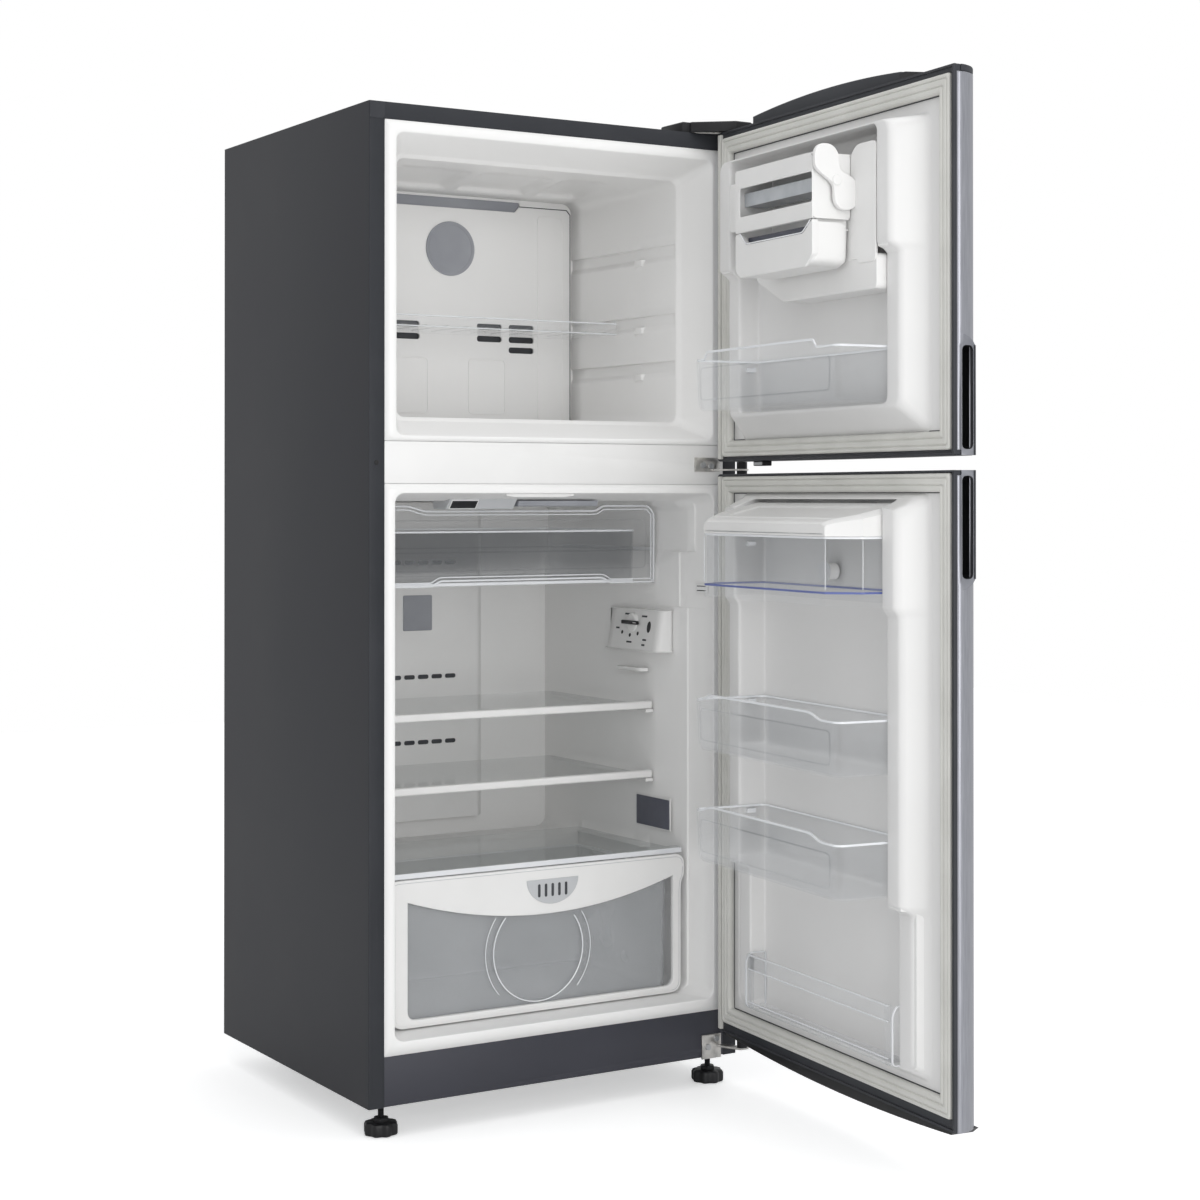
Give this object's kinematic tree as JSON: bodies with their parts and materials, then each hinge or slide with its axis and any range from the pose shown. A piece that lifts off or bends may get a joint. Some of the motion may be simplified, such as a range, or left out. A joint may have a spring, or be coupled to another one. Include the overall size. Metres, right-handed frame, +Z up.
{
  "type": "refrigerator",
  "caption": "Two-door top-freezer refrigerator, both doors open: lined compartments, shelves, drawers, door bins, ice maker, water tank, hinges, feet and rollers.",
  "frame": {"origin": "on the floor under the centre of the cabinet's footprint, doors left out", "axes": "+Z up, -Y out of the cabinet's front, +X towards the hinge side"},
  "size_m": [0.7025, 1.3205, 1.6579],
  "materials": {
    "graphite_steel": "satin",
    "galvanised_steel": "matte",
    "white_liner": "semi-gloss",
    "white_steel": "satin",
    "foam": "matte",
    "black_shell": "satin",
    "black_rubber": "matte",
    "aluminium_fins": "matte",
    "black_plastic": "satin",
    "clear_plastic": "clear",
    "tempered_glass": "polished",
    "white_plastic": "semi-gloss",
    "bracket_steel": "satin",
    "zinc_screw": "satin",
    "door_steel": "brushed",
    "grey_seal": "matte",
    "dark_cap": "satin",
    "grey_plastic": "satin"
  },
  "bodies": {
    "cabinet": {"cabinet_wrapper": "graphite_steel", "rear_panel": "galvanised_steel", "base_pan": "galvanised_steel", "kick_plate": "graphite_steel", "freezer_liner": "white_liner", "fridge_liner": "white_liner", "mullion_rail": "white_steel", "foam_insulation": "foam", "compressor": "black_shell", "compressor_grommets": "black_rubber", "evaporator_cover": "white_plastic", "evaporator": "aluminium_fins", "fan_motor": "black_plastic", "air_duct_cover": "white_plastic", "lamp_cover": "white_plastic", "control_box": "white_plastic", "hinge_brackets": "bracket_steel", "hinge_bushings": "black_plastic", "hinge_screws": "zinc_screw", "hinge_cover": "black_plastic"},
    "evaporator_fan": {"fan_blade": "white_plastic"},
    "temperature_knob": {"control_knob": "black_plastic"},
    "freezer_shelf": {"freezer_shelf": "clear_plastic"},
    "chiller_drawer": {"chiller_drawer": "clear_plastic"},
    "upper_shelf": {"upper_shelf_glass": "tempered_glass", "upper_shelf_trim": "white_plastic"},
    "lower_shelf": {"lower_shelf_glass": "tempered_glass", "lower_shelf_trim": "white_plastic"},
    "crisper_cover": {"crisper_cover": "clear_plastic"},
    "crisper": {"crisper_tub": "clear_plastic", "crisper_front": "white_plastic"},
    "humidity_slide": {"humidity_slide": "grey_plastic"},
    "left_foot": {"left_foot": "black_plastic"},
    "right_foot": {"right_foot": "black_plastic"},
    "left_roller": {"left_roller": "black_plastic"},
    "right_roller": {"right_roller": "black_plastic"},
    "freezer_door": {"freezer_door_skin": "door_steel", "freezer_door_frame": "dark_cap", "freezer_door_foam": "foam", "freezer_door_liner": "white_liner", "freezer_gasket": "grey_seal", "freezer_door_caps": "dark_cap", "freezer_handle": "dark_cap", "ice_maker_frame": "white_plastic"},
    "freezer_door_bin": {"freezer_door_bin": "clear_plastic"},
    "ice_twist": {"ice_lever": "white_plastic", "ice_tray": "clear_plastic"},
    "ice_bin": {"ice_bin": "clear_plastic"},
    "fridge_door": {"fridge_door_skin": "door_steel", "fridge_door_frame": "dark_cap", "fridge_door_foam": "foam", "fridge_door_liner": "white_liner", "fridge_gasket": "grey_seal", "fridge_door_caps": "dark_cap", "fridge_handle": "dark_cap"},
    "water_tank": {"water_tank": "clear_plastic"},
    "tank_lid": {"tank_lid": "white_plastic"},
    "door_bin_upper": {"door_bin_upper": "clear_plastic"},
    "door_bin_lower": {"door_bin_lower": "clear_plastic"},
    "bottle_retainer": {"bottle_retainer": "clear_plastic"}
  },
  "joints": [
    {"name": "freezer_door_hinge", "type": "hinge", "parent": "cabinet", "child": "freezer_door", "pos_m": [0.3353, -0.338, 1.6], "axis": [0, 0, 1], "range_deg": [-84.3, 35.7]},
    {"name": "fridge_door_hinge", "type": "hinge", "parent": "cabinet", "child": "fridge_door", "pos_m": [0.3353, -0.338, 0.6], "axis": [0, 0, 1], "range_deg": [-84.3, 35.7]},
    {"name": "fan_spin", "type": "hinge", "parent": "cabinet", "child": "evaporator_fan", "pos_m": [0, 0.136, 1.489], "axis": [0, 1, 0], "continuous": true},
    {"name": "temperature_turn", "type": "hinge", "parent": "cabinet", "child": "temperature_knob", "pos_m": [0.246, -0.1, 0.787], "axis": [1, 0, 0], "range_deg": [-120, 120]},
    {"name": "freezer_shelf_slide", "type": "slide", "parent": "cabinet", "child": "freezer_shelf", "axis": [0, -1, 0], "range_m": [0, 0.05]},
    {"name": "chiller_drawer_slide", "type": "slide", "parent": "cabinet", "child": "chiller_drawer", "axis": [0, -1, 0], "range_m": [0, 0.22]},
    {"name": "upper_shelf_slide", "type": "slide", "parent": "cabinet", "child": "upper_shelf", "axis": [0, -1, 0], "range_m": [0, 0.2]},
    {"name": "lower_shelf_slide", "type": "slide", "parent": "cabinet", "child": "lower_shelf", "axis": [0, -1, 0], "range_m": [0, 0.2]},
    {"name": "crisper_cover_slide", "type": "slide", "parent": "cabinet", "child": "crisper_cover", "axis": [0, -1, 0], "range_m": [0, 0.1]},
    {"name": "crisper_slide", "type": "slide", "parent": "cabinet", "child": "crisper", "axis": [0, -1, 0], "range_m": [0, 0.13]},
    {"name": "humidity_slide_move", "type": "slide", "parent": "crisper", "child": "humidity_slide", "axis": [1, 0, 0], "range_m": [0, 0.028]},
    {"name": "left_foot_turn", "type": "hinge", "parent": "cabinet", "child": "left_foot", "pos_m": [-0.313, -0.265, 0.02], "axis": [0, 0, 1], "continuous": true},
    {"name": "right_foot_turn", "type": "hinge", "parent": "cabinet", "child": "right_foot", "pos_m": [0.313, -0.265, 0.02], "axis": [0, 0, 1], "continuous": true},
    {"name": "left_roller_roll", "type": "hinge", "parent": "cabinet", "child": "left_roller", "pos_m": [-0.23, 0.222, 0.025], "axis": [1, 0, 0], "continuous": true},
    {"name": "right_roller_roll", "type": "hinge", "parent": "cabinet", "child": "right_roller", "pos_m": [0.23, 0.222, 0.025], "axis": [1, 0, 0], "continuous": true},
    {"name": "freezer_bin_lift", "type": "slide", "parent": "freezer_door", "child": "freezer_door_bin", "axis": [0, 0, 1], "range_m": [0, 0.03]},
    {"name": "ice_twist_turn", "type": "hinge", "parent": "freezer_door", "child": "ice_twist", "pos_m": [0.16749, -0.81097, 1.483], "axis": [-0.0993, -0.9951, 0], "range_deg": [0, 60], "stiffness_Nm_per_rad": 0.4},
    {"name": "ice_bin_pull", "type": "slide", "parent": "freezer_door", "child": "ice_bin", "axis": [-0.9951, 0.0993, 0], "range_m": [0, 0.06]},
    {"name": "water_tank_lift", "type": "slide", "parent": "fridge_door", "child": "water_tank", "axis": [0, 0, 1], "range_m": [0, 0.004]},
    {"name": "tank_lid_pull", "type": "slide", "parent": "water_tank", "child": "tank_lid", "axis": [-0.9951, 0.0993, 0], "range_m": [0, 0.04]},
    {"name": "upper_bin_lift", "type": "slide", "parent": "fridge_door", "child": "door_bin_upper", "axis": [0, 0, 1], "range_m": [0, 0.03]},
    {"name": "lower_bin_lift", "type": "slide", "parent": "fridge_door", "child": "door_bin_lower", "axis": [0, 0, 1], "range_m": [0, 0.03]},
    {"name": "retainer_lift", "type": "slide", "parent": "fridge_door", "child": "bottle_retainer", "axis": [0, 0, 1], "range_m": [0, 0.03]}
  ]
}
